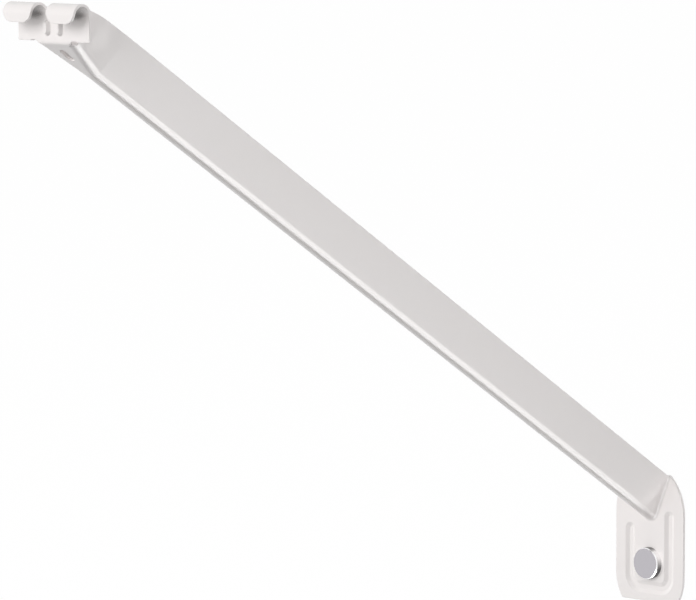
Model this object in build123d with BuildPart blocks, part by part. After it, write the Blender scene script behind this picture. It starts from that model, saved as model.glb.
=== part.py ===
import os
from math import acos, asin, cos, degrees, radians, sin, tan

from build123d import *

os.makedirs("parts", exist_ok=True)

# Sheet steel and the stance of the bracket: the wall is the plane Y = 0 and the room is on -Y.
sheet = 0.9
arm_angle = 32.38
arm_root = 15.4

# Front rod of the wire shelf and the hook that takes it.
rod_diameter = 5.6
rod_clearance = 0.2
rod_reach = 304.0
hook_width = 35.5
hook_wall_height = 9.0
neck_radius = 1.4
tongue_drop = 2.7
tongue_gap = 7.4
tongue_corner = 4.2
wing_corner = 0.8
neck_width = 17.2
relief_width = 2.4
relief_height = 1.4
relief_drop = 0.4

# Pressed ribs on the hook's wall that keep the rod up in the curl.
rib_spacing = 6.2
rib_width = 3.2
rib_length = 5.4
rib_height = 1.2
rib_slope = 38.0
rib_rise = 1.7

# Arm: a channel with leaning sides and a round keel, opening to a flat web at the neck.
side_lean = 26.0
bend_radius = 3.6
keel_flat = 0.6
side_depth_at_wall = 14.8
side_depth_at_hook = 15.85
web_width = 19.2
web_rise = 1.35
flare_length = 17.5
flare_to_neck = 2.5
side_end_radius = 40.0
side_end_run = 19.0
side_gap = 0.4

# Slot through the web, by which the part hangs while it is coated.
slot_length = 6.5
slot_width = 3.0
slot_from_neck = 7.2

# Wall tab with its pressed bead.
tab_width = 34.0
tab_foot = 14.8
tab_top_radius = 20.0
tab_straight_foot = 4.4
tab_foot_radius = 18.0
tab_foot_corner = 1.5
fold_radius = 1.0
bead_margin = 7.2
bead_left_top = 12.3
bead_right_top = 18.3
bead_bottom = -9.5
bead_corner = 4.6
bead_width = 4.8
bead_depth = 0.8
bead_slope = 27.0

# Drive pin and the sleeve that it spreads in the wall.
pin_head_diameter = 12.2
pin_head_height = 2.6
pin_head_edge = 0.4
pin_diameter = 4.0
pin_length = 14.0
pin_point = 2.5
pin_hole_clearance = 0.15
anchor_diameter = 6.35
anchor_length = 12.5
anchor_grip = 0.05
anchor_nose = 0.8
anchor_slit = 1.0
anchor_collar_length = 3.5
anchor_barb = 0.3
anchor_barb_count = 3

# Places that follow from the sizes above.
angle = radians(arm_angle)
lean = radians(side_lean)
hook_radius = rod_diameter / 2 + rod_clearance
hook_wall = rod_reach - hook_radius
neck_corner = arm_root + hook_wall * tan(angle) + web_rise / cos(angle)
neck_run = (hook_wall + web_rise * sin(angle)) / cos(angle)
wing_edge = neck_corner + neck_radius * tan((radians(90) - angle) / 2)
curl_height = wing_edge + hook_wall_height
keel_half = keel_flat / 2 + bend_radius * tan((radians(90) - lean) / 2)
neck_foot = web_width / 2 - 5 * bend_radius / 6
flare_end = neck_run - flare_to_neck
flare_start = flare_end - flare_length
tab_back = bead_depth
tab_front = bead_depth + sheet
side_turn = (hook_wall + side_depth_at_hook * sin(angle)) / cos(angle) - side_end_run
fold_run = (side_depth_at_wall * sin(angle) + tab_front + fold_radius) / cos(angle)
side_top = arm_root + fold_run * sin(angle) + side_depth_at_wall * cos(angle)
side_out = keel_half + side_depth_at_wall * tan(lean)
crown_centre = tab_width / 2 - tab_top_radius
tab_shoulder = side_top - (tab_top_radius**2 - (side_out - crown_centre) ** 2) ** 0.5
relief_place = (neck_width + relief_width) / 2
tongue_edge = curl_height - tongue_drop
tongue_width = (hook_width - tongue_gap) / 2
crown_sweep = degrees(acos(-crown_centre / tab_top_radius))
heel_sweep = degrees(asin((tab_foot - tab_straight_foot) / tab_foot_radius))
bead_spacing = tab_width - 2 * bead_margin
bead_shift = 2 * sheet * tan(radians(bead_slope) / 2)
rib_height_mid = wing_edge + rib_rise + rib_length / 2
anchor_end = anchor_length - tab_back
anchor_barb_pitch = (anchor_end - anchor_nose - anchor_collar_length) / anchor_barb_count
stock = max(side_depth_at_wall, side_depth_at_hook) + 3.0
room = 2 * rod_reach

arm_plane = Plane(origin=(0, 0, arm_root), x_dir=(1, 0, 0), z_dir=(0, -cos(angle), sin(angle)))


def channel(run, base, half_web, lean_angle, inset, height):
    """Closed section of the channel, drawn on its outer faces or set in by the sheet."""
    edge = half_web + inset * (tan(lean_angle) - 1 / cos(lean_angle))
    floor = base + inset
    spread = (height - floor) * tan(lean_angle)
    with BuildSketch(arm_plane.offset(run)) as section:
        with BuildLine():
            sides = FilletPolyline(
                (-edge - spread, height),
                (-edge, floor),
                (edge, floor),
                (edge + spread, height),
                radius=bend_radius - inset,
            )
            Line(sides @ 1, sides @ 0)
        make_face()
    return section.sketch


def keel(run, inset, height):
    return channel(run, 0, keel_half, lean, inset, height)


def neck(run, inset, height):
    return channel(run, web_rise, web_width / 2, 0, inset, height)


def along(run, depth):
    """Side-view point at a run along the arm and a depth square to it."""
    return (depth * sin(angle) - run * cos(angle), arm_root + run * sin(angle) + depth * cos(angle))


def beside_arm(edge):
    return abs(edge.center().X) < tab_width / 4 and edge.center().Z > arm_root - 2 * fold_radius


def bead(plane, width):
    """U-shaped stroke of the bead, round at both ends, with its right leg longer."""
    with BuildSketch(plane) as stroke:
        with BuildLine():
            FilletPolyline(
                (-bead_spacing / 2, bead_left_top),
                (-bead_spacing / 2, bead_bottom),
                (bead_spacing / 2, bead_bottom),
                (bead_spacing / 2, bead_right_top),
                radius=bead_corner,
            )
            offset(amount=width / 2)
        make_face()
    return stroke.sketch


with BuildPart() as arm:
    # Keel, flare and neck, solid on the outer faces of the sheet.
    extrude(keel(0, 0, stock), amount=flare_start)
    loft([keel(flare_start, 0, stock), neck(flare_end, 0, stock)], ruled=True)
    extrude(neck(flare_end, 0, stock), amount=stock)
    # Blank of the wall tab, folded outward from the arm.
    with BuildSketch(Plane.XZ.offset(tab_back)):
        Rectangle(tab_width + tab_foot, 2 * (side_top + sheet))
    extrude(amount=sheet)
    with Locations((0, room / 2 - tab_back, 0)):
        Box(room, room, room, mode=Mode.SUBTRACT)
    folds = arm.edges().filter_by_position(Axis.Y, -tab_front - 0.01, -tab_front + 0.01)
    fillet(folds.filter_by(beside_arm), fold_radius)
    # Hollow of the channel, open at the top and through the tab.
    extrude(keel(-stock, sheet, stock + 1), amount=stock + flare_start, mode=Mode.SUBTRACT)
    loft(
        [keel(flare_start, sheet, stock + 1), neck(flare_end, sheet, stock + 1)],
        ruled=True,
        mode=Mode.SUBTRACT,
    )
    extrude(neck(flare_end, sheet, stock + 1), amount=stock + 1, mode=Mode.SUBTRACT)
    folds = arm.edges().filter_by_position(Axis.Y, -tab_back - 0.01, -tab_back + 0.01)
    fillet(folds.filter_by(beside_arm), fold_radius + sheet)
    # Top edges of the two sides: level at the fold, then a straight taper that rounds down behind the hook.
    with BuildSketch(Plane.YZ):
        with BuildLine():
            taper = Line(along(fold_run, side_depth_at_wall), along(side_turn, side_depth_at_hook))
            turn = JernArc(taper @ 1, taper % 1, side_end_radius, arm_angle)
            Polyline(
                turn @ 1,
                (-room, (turn @ 1).Y),
                (-room, room),
                (room, room),
                (room, side_top),
                taper @ 0,
            )
        make_face()
    extrude(amount=hook_width, both=True, mode=Mode.SUBTRACT)
    with Locations((0, sheet + side_gap - hook_wall - room / 2, neck_corner)):
        Box(room, room, room, mode=Mode.SUBTRACT)
    # Outline of the wall tab.
    with BuildSketch(Plane.XZ.offset(-sheet)):
        Rectangle(2 * tab_width, 4 * (arm_root + stock))
        with BuildLine():
            flank = Line((tab_width / 2, -tab_straight_foot), (tab_width / 2, tab_shoulder))
            JernArc(flank @ 1, (0, 1), tab_top_radius, crown_sweep)
            heel = JernArc(flank @ 0, (0, -1), tab_foot_radius, -heel_sweep)
            Line(heel @ 1, (0, -tab_foot))
            mirror(about=Plane.YZ)
        make_face(mode=Mode.SUBTRACT)
    extrude(amount=sheet + tab_front + fold_radius, mode=Mode.SUBTRACT)
    fillet(arm.edges().filter_by(Axis.Y).group_by(Axis.Z)[0], tab_foot_corner)
    # Bead pressed toward the wall, and the hole for the pin.
    ridge = bead(Plane.XZ.offset(tab_back), bead_width + bead_shift)
    extrude(ridge, amount=-bead_depth, taper=90 - bead_slope)
    groove = bead(Plane.XZ.offset(tab_front), bead_width)
    extrude(groove, amount=-bead_depth, taper=90 - bead_slope, mode=Mode.SUBTRACT)
    with BuildSketch(Plane.XZ):
        Circle(pin_diameter / 2 + pin_hole_clearance)
    extrude(amount=2 * tab_front, mode=Mode.SUBTRACT)

with BuildPart() as hook:
    # Strip from the web round the neck, up the wall and over into the curl.
    with BuildSketch(Plane.YZ):
        with BuildLine():
            FilletPolyline(
                along(neck_run - 2 * neck_radius, web_rise),
                (-hook_wall, neck_corner),
                (-hook_wall, curl_height),
                radius=neck_radius,
            )
            curl = CenterArc((-rod_reach, curl_height), hook_radius, 0, 180)
            Line(curl @ 1, curl @ 1 - (0, tongue_drop))
            offset(amount=sheet, side=Side.RIGHT)
        make_face()
    extrude(amount=hook_width / 2, both=True)
    # Narrow neck that runs in to the flat of the web.
    with BuildSketch(Plane.XZ.offset(hook_wall + sheet)):
        for side in (-1, 1):
            with BuildLine():
                Polyline(
                    (side * neck_width / 2, wing_edge),
                    (side * hook_width, wing_edge),
                    (side * hook_width, arm_root),
                    (side * neck_foot, arm_root),
                    (side * neck_foot, wing_edge - neck_radius),
                    close=True,
                )
            make_face()
    extrude(amount=-6 * neck_radius, mode=Mode.SUBTRACT)
    # Two round-cornered tongues in front.
    with BuildSketch(Plane.XZ.offset(rod_reach)):
        with Locations((0, curl_height)):
            Rectangle(2 * hook_width, hook_width)
        for side in (-1, 1):
            with Locations((side * (hook_width - tongue_width) / 2, tongue_edge + hook_width / 2)):
                RectangleRounded(tongue_width, hook_width, tongue_corner, mode=Mode.SUBTRACT)
    extrude(amount=hook_width, mode=Mode.SUBTRACT)
    # Gap between the tongues, on over the curl to the top of the wall.
    with BuildSketch(Plane.XZ.offset(rod_reach)):
        with Locations((0, curl_height + hook_width / 2)):
            RectangleRounded(tongue_gap, hook_width, tongue_gap / 3)
    extrude(amount=-2 * hook_radius, mode=Mode.SUBTRACT)
    corners = hook.edges().filter_by(Axis.Y).filter_by_position(Axis.Z, wing_edge - 0.01, wing_edge + 0.01)
    fillet([corners.sort_by(Axis.X)[0], corners.sort_by(Axis.X)[-1]], wing_corner)
    # Ribs pressed into the room side of the wall.
    with BuildSketch(Plane.XZ.offset(hook_wall)):
        with Locations((-rib_spacing / 2, rib_height_mid), (rib_spacing / 2, rib_height_mid)):
            SlotOverall(rib_length, rib_width, rotation=90)
    extrude(amount=rib_height, taper=rib_slope)
    with BuildSketch(Plane.XZ.offset(hook_wall - sheet)):
        with Locations((-rib_spacing / 2, rib_height_mid), (rib_spacing / 2, rib_height_mid)):
            SlotOverall(rib_length, rib_width, rotation=90)
    extrude(amount=rib_height, taper=rib_slope, mode=Mode.SUBTRACT)

with BuildPart() as bracket_body:
    add(arm.part)
    add(hook.part)
    # Relief hole across each corner where a wing, the neck and a side of the channel meet.
    for side in (-1, 1):
        corner = Plane(
            origin=(side * relief_place, -hook_wall + sheet / 2, wing_edge - relief_drop),
            x_dir=(1, side, 0),
            z_dir=(side, -1, 0),
        )
        with BuildSketch(corner):
            SlotOverall(relief_width, relief_height)
        extrude(amount=bend_radius, both=True, mode=Mode.SUBTRACT)
    # Slot to hang the part by.
    slot_plane = Plane(
        origin=(0, *along(neck_run - slot_from_neck, web_rise)),
        x_dir=(1, 0, 0),
        z_dir=(0, sin(angle), cos(angle)),
    )
    with BuildSketch(slot_plane):
        SlotOverall(slot_length, slot_width, rotation=90)
    extrude(amount=2 * sheet, both=True, mode=Mode.SUBTRACT)
bracket_body.part.label = "bracket_body"
export_step(bracket_body.part, "parts/bracket_body.step")

with BuildPart() as drive_pin:
    with BuildSketch(Plane.XY):
        with BuildLine():
            Polyline(
                (0, -tab_front - pin_head_height),
                (pin_head_diameter / 2, -tab_front - pin_head_height),
                (pin_head_diameter / 2, -tab_front),
                (pin_diameter / 2, -tab_front),
                (pin_diameter / 2, pin_length - tab_front - pin_point),
                (0, pin_length - tab_front),
                close=True,
            )
        make_face()
    revolve(axis=Axis.Y)
    rim = drive_pin.edges().filter_by(GeomType.CIRCLE).group_by(Axis.Y)[0]
    chamfer(rim, pin_head_edge)
drive_pin.part.label = "drive_pin"
export_step(drive_pin.part, "parts/drive_pin.step")

barbs = []
for tooth in range(anchor_barb_count):
    barb_start = anchor_collar_length + tooth * anchor_barb_pitch
    barbs.append((anchor_diameter / 2, barb_start))
    barbs.append((anchor_diameter / 2 - anchor_barb, barb_start + anchor_barb_pitch))

with BuildPart() as wall_anchor:
    with BuildSketch(Plane.XY):
        with BuildLine():
            Polyline(
                (pin_diameter / 2 + anchor_grip, -tab_back),
                (anchor_diameter / 2, -tab_back),
                *barbs,
                (anchor_diameter / 2 - anchor_nose / 2, anchor_end),
                (pin_diameter / 2 + anchor_grip, anchor_end),
                close=True,
            )
        make_face()
    revolve(axis=Axis.Y)
    # Crossed slits let the legs spread.
    with Locations((0, anchor_collar_length + anchor_length / 2, 0)):
        Box(anchor_slit, anchor_length, anchor_length, mode=Mode.SUBTRACT)
        Box(anchor_length, anchor_length, anchor_slit, mode=Mode.SUBTRACT)
wall_anchor.part.label = "wall_anchor"
export_step(wall_anchor.part, "parts/wall_anchor.step")
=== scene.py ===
from math import pi, radians

import bpy
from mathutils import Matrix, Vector

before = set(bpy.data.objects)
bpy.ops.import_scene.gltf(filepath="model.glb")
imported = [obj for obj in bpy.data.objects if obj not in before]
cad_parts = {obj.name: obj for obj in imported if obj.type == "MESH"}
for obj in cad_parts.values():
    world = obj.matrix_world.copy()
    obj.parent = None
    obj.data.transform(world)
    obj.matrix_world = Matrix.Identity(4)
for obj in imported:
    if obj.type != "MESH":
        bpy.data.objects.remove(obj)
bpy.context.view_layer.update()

# Bracket body: one strip of sheet steel, blanked, folded to a channel and pressed to a hook and a wall tab.
# It is dipped clean, hung by the slot in its web and coated with white epoxy powder, baked hard.
# Inside the hook's curl and in tight corners its colour is darkened to grey, as painted shade.


class Wire:
    """A socket among a finish's nodes, so that shader maths reads as plain expressions."""

    def __init__(self, tree, socket=None):
        self.tree = tree
        self.socket = socket

    def add(self, kind, settings=None, inputs=None, out=0):
        node = self.tree.nodes.new(kind)
        for name, value in (settings or {}).items():
            setattr(node, name, value)
        for name, value in (inputs or {}).items():
            if isinstance(value, Wire):
                self.tree.links.new(value.socket, node.inputs[name])
            else:
                node.inputs[name].default_value = value
        return Wire(self.tree, node.outputs[out] if len(node.outputs) else None)

    def maths(self, operation, first, second):
        return self.add("ShaderNodeMath", {"operation": operation}, {0: first, 1: second})

    def __add__(self, other):
        return self.maths("ADD", self, other)

    def __radd__(self, other):
        return self.maths("ADD", other, self)

    def __rsub__(self, other):
        return self.maths("SUBTRACT", other, self)

    def __mul__(self, other):
        return self.maths("MULTIPLY", self, other)

    def __rmul__(self, other):
        return self.maths("MULTIPLY", other, self)

    def __pow__(self, other):
        return self.maths("POWER", self, other)

    def above(self, level):
        return self.maths("GREATER_THAN", self, level)

    def rise(self, start, end):
        """Go smoothly from 0 at the start to 1 at the end."""
        return self.add(
            "ShaderNodeMapRange",
            {"interpolation_type": "SMOOTHSTEP"},
            {"Value": self, "From Min": start, "From Max": end},
        )

    def blend(self, low, high):
        """Mix two colours, the first at 0 and the second at 1."""
        return self.add("ShaderNodeMix", {"data_type": "RGBA"}, {"Factor": self, 6: low, 7: high}, out=2)

    def noise(self, size, detail):
        return self.add("ShaderNodeTexNoise", inputs={"Vector": self, "Scale": 1 / size, "Detail": detail})


def new_finish(name):
    finish = bpy.data.materials.new(name)
    finish.use_nodes = True
    finish.node_tree.nodes.clear()
    return finish, Wire(finish.node_tree)


def cover(wire, inputs):
    surface = wire.add("ShaderNodeBsdfPrincipled", inputs=inputs)
    wire.add("ShaderNodeOutputMaterial", inputs={"Surface": surface})


def dress(node, finish):
    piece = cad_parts[node]
    piece.data.materials.clear()
    piece.data.materials.append(finish)
    return piece


coat_white = (0.89, 0.853, 0.842, 1)
coat_shade = (0.864, 0.826, 0.814, 1)
# Painted shade: the grey that the coat's colour turns to inside the hook's curl and in tight corners.
coat_painted_shade = (0.2, 0.19, 0.185, 1)
coat_cloud = 0.03
coat_peel = 0.0022
coat_peel_depth = 0.0002
coat_peel_strength = 0.12
coat_edge = 0.0003
coat_roughness = 0.34
coat_roughness_spread = 0.1
coat_gloss = 0.6
coat_gloss_roughness = 0.16
coat_gloss_index = 1.6

# Occlusion distance, and the open shares up to which the painted shade is full and from which it is gone.
shade_reach = 0.008
shade_full_until = 0.44
shade_gone_from = 0.62

powder_coat, coat = new_finish("white_powder_coat")
place = coat.add("ShaderNodeTexCoord", out="Object")
cloud = place.noise(coat_cloud, detail=3)
peel = place.noise(coat_peel, detail=2)
# Painted shade: the coat's colour goes grey where the occlusion finds a spot hemmed in.
openness = coat.add(
    "ShaderNodeAmbientOcclusion",
    {"samples": 16, "only_local": True},
    {"Distance": shade_reach},
    out="AO",
)
coat_tone = cloud.blend(coat_white, coat_shade)
rounded = coat.add("ShaderNodeBevel", {"samples": 4}, {"Radius": coat_edge})
skin = coat.add(
    "ShaderNodeBump",
    inputs={
        "Strength": coat_peel_strength,
        "Distance": coat_peel_depth,
        "Height": peel,
        "Normal": rounded,
    },
)
cover(
    coat,
    {
        "Base Color": openness.rise(shade_full_until, shade_gone_from).blend(coat_painted_shade, coat_tone),
        "Roughness": coat_roughness + coat_roughness_spread * cloud,
        "Coat Weight": coat_gloss,
        "Coat Roughness": coat_gloss_roughness,
        "Coat IOR": coat_gloss_index,
        "Normal": skin,
    },
)
dress("bracket_body", powder_coat)

# Wall anchor: a nylon sleeve behind the tab with barbs round it and crossed slits from its nose.
# It is moulded in one piece, pushed into the drilled hole, and spread there by the pin.

nylon_pale = (0.84, 0.83, 0.79, 1)
nylon_deep = (0.76, 0.745, 0.70, 1)
nylon_flow = 0.003
nylon_grain_depth = 0.0001
nylon_grain_strength = 0.15
nylon_roughness = 0.42
nylon_roughness_spread = 0.16

nylon, resin = new_finish("natural_nylon")
flow = resin.add("ShaderNodeTexCoord", out="Object").noise(nylon_flow, detail=4)
grain = resin.add(
    "ShaderNodeBump",
    inputs={"Strength": nylon_grain_strength, "Distance": nylon_grain_depth, "Height": flow},
)
cover(
    resin,
    {
        "Base Color": flow.blend(nylon_pale, nylon_deep),
        "Roughness": nylon_roughness + nylon_roughness_spread * flow,
        "Normal": grain,
    },
)
dress("wall_anchor", nylon)

# Drive pin: a steel pin with a flat round head, turned, nickel plated and driven through the tab into the
# sleeve. The head's face is lapped to a fine even grey. Its edge is polished, and its colour is lightened
# there as a painted highlight ring. Its side is polished too and carries painted reflections: a painted
# highlight above the middle, and painted shade below it and at the very top.

pin_points = [point.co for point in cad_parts["drive_pin"].data.vertices]
pin_head_radius = max(point.x for point in pin_points)
pin_head_front = min(point.y for point in pin_points)
pin_edge = 0.00035
pin_face = (0.51, 0.493, 0.522, 1)
pin_rim_highlight = (0.93, 0.925, 0.93, 1)
# Painted reflection on the side: its dark and bright colours, and the heights where the bright band starts,
# is full and ends.
pin_side_painted_shade = (0.1, 0.098, 0.1, 1)
pin_side_painted_highlight = (0.95, 0.945, 0.95, 1)
pin_highlight_from = -0.0025
pin_highlight_full = 0.0035
pin_highlight_until = 0.0046
pin_lapping = 0.00012
pin_lapping_stretch = (1, 1, 0.06)
pin_scratch_depth = 0.00002
pin_scratch_strength = 0.06
pin_roughness = 0.19
pin_roughness_spread = 0.1

plated_steel, plate = new_finish("nickel_plate")
place = plate.add("ShaderNodeTexCoord", out="Object")
across = plate.add("ShaderNodeSeparateXYZ", inputs={"Vector": place}, out="X")
inward = plate.add("ShaderNodeSeparateXYZ", inputs={"Vector": place}, out="Y")
upward = plate.add("ShaderNodeSeparateXYZ", inputs={"Vector": place}, out="Z")
radius = (across * across + upward * upward) ** 0.5
polished = radius.above(pin_head_radius - pin_edge)
beside = inward.above(pin_head_front + pin_edge)
bright = upward.rise(pin_highlight_from, pin_highlight_full)
top_painted_shade = upward.rise(pin_highlight_until, pin_head_radius)
stretched = plate.add(
    "ShaderNodeVectorMath",
    {"operation": "MULTIPLY"},
    {0: place, 1: pin_lapping_stretch},
)
lapped = stretched.noise(pin_lapping, detail=2)
scratches = plate.add(
    "ShaderNodeBump",
    inputs={
        "Strength": pin_scratch_strength,
        "Distance": pin_scratch_depth,
        "Height": lapped * (1 - polished),
    },
)
# Painted highlight: the polished rim's colour is much lighter than the face's.
front = polished.blend(pin_face, pin_rim_highlight)
# Painted reflection: the side is light above the middle, and dark below it and at the very top.
side = (bright * (1 - top_painted_shade)).blend(pin_side_painted_shade, pin_side_painted_highlight)
cover(
    plate,
    {
        "Base Color": beside.blend(front, side),
        "Metallic": 1,
        "Roughness": pin_roughness + pin_roughness_spread * lapped,
        "Normal": scratches,
    },
)
dress("drive_pin", plated_steel)

# Floor and studio: a wide pale floor, a white surround, soft lamps in front and on the right, and a fill lamp
# on the left. Five low white cards show only in the gloss, where they draw the bright line along the arm's
# lower bend and even out the sheen of its side.

floor_drop = 0.32
floor_reach = 40
floor_pale = (0.36, 0.36, 0.36, 1)
floor_glow = 1.06
floor_glow_share = 0.93
surround_white = (1, 1, 1, 1)
surround_level = 0.26
card_drop = 0.3
studio_middle = (0, -0.15, 0.1)


def backdrop_rays(wire):
    """1 for a ray that shows the backdrop to the camera, straight, in a gloss or through glass."""
    camera_ray = wire.add("ShaderNodeLightPath", out="Is Camera Ray")
    glossy_ray = wire.add("ShaderNodeLightPath", out="Is Glossy Ray")
    return camera_ray + glossy_ray + wire.add("ShaderNodeLightPath", out="Is Transmission Ray")


bpy.ops.mesh.primitive_plane_add(size=floor_reach, location=(0, 0, -floor_drop))
floor = bpy.context.object
floor.name = "floor"
pale_floor, ground = new_finish("pale_floor")
surface = ground.add(
    "ShaderNodeMixShader",
    inputs={
        0: floor_glow_share * backdrop_rays(ground),
        1: ground.add("ShaderNodeBsdfDiffuse", inputs={"Color": floor_pale}),
        2: ground.add("ShaderNodeEmission", inputs={"Strength": floor_glow}),
    },
)
ground.add("ShaderNodeOutputMaterial", inputs={"Surface": surface})
floor.data.materials.append(pale_floor)

studio = bpy.data.worlds.new("studio")
bpy.context.scene.world = studio
studio.use_nodes = True
studio.node_tree.nodes.clear()
sky = Wire(studio.node_tree)
surround = sky.add(
    "ShaderNodeBackground",
    inputs={
        "Color": surround_white,
        "Strength": surround_level + (1 - surround_level) * backdrop_rays(sky),
    },
)
sky.add("ShaderNodeOutputWorld", inputs={"Surface": surround})


def lamp(name, spot, width, length, power, mirrored=True, shadowed=True):
    light = bpy.data.lights.new(name, "AREA")
    light.shape = "RECTANGLE"
    light.size = width
    light.size_y = length
    light.energy = power
    light.use_shadow = shadowed
    holder = bpy.data.objects.new(name, light)
    holder.location = spot
    holder.rotation_euler = (Vector(spot) - Vector(studio_middle)).to_track_quat("Z", "Y").to_euler()
    holder.visible_camera = False
    holder.visible_glossy = mirrored
    bpy.context.scene.collection.objects.link(holder)


lamp("front_lamp", (-0.1, -3.2, 1.2), width=2.4, length=1.8, power=59.5, mirrored=False)
lamp(
    "left_lamp",
    (-4.34, -2.45, 0.76),
    width=2.4,
    length=2.4,
    power=116.0,
    mirrored=False,
    shadowed=False,
)
lamp("right_lamp", (2.78, 0.75, 1.0), width=1.6, length=0.6, power=38.0)


def card(name, level, corners):
    sheet = bpy.data.meshes.new(name)
    sheet.from_pydata([(x, y, -card_drop) for x, y in corners], [], [range(len(corners))])
    board = bpy.data.objects.new(name, sheet)
    bpy.context.scene.collection.objects.link(board)
    board.visible_camera = False
    board.visible_diffuse = False
    board.visible_shadow = False
    glowing, sheen = new_finish(name)
    glow = sheen.add("ShaderNodeEmission", inputs={"Strength": level})
    sheen.add("ShaderNodeOutputMaterial", inputs={"Surface": glow})
    sheet.materials.append(glowing)


# The keel's and the neck's cards meet along one edge.
keel_near = (-0.012, -0.19)
keel_far = (0.46, -0.05)
card("keel_card", 5.4, (keel_near, (-0.035, 0.13), (0.275, 0.17), keel_far))
card("neck_card", 6.6, ((0.0, -0.36), keel_near, keel_far, (0.56, -0.17)))
card("flare_card", 5.0, ((-0.20, 0.16), (-0.26, 0.7), (0.06, 0.7), (0.08, 0.2)))
card("hook_card", 1.8, ((0.568, -0.164), (0.468, -0.044), (0.75, 0.19), (0.85, 0.07)))
card("side_card", 2.7, ((0.55, 0.2), (0.5, 0.8), (1.2, 0.8), (1.2, 0.2)))

# Camera: a long lens at the photograph's place, to the right of the part's front and a little above it.
# The focal length was fitted to the photograph's edges in pixels, and is turned to millimetres of film.

photo_width = 696
focus_in_pixels = 4667.7
film_width = 36
camera_spot = (1.1662, -1.3221, 0.2830)
camera_turn = radians(45.188)
camera_dip = radians(5.923)
camera_nearest = 0.01

camera = bpy.data.objects.new("camera", bpy.data.cameras.new("camera"))
camera.location = camera_spot
camera.rotation_euler = (pi / 2 - camera_dip, 0, camera_turn)
camera.data.sensor_width = film_width
camera.data.lens = film_width * focus_in_pixels / photo_width
camera.data.clip_start = camera_nearest
bpy.context.scene.collection.objects.link(camera)
bpy.context.scene.camera = camera
bpy.context.scene.view_settings.view_transform = "Standard"
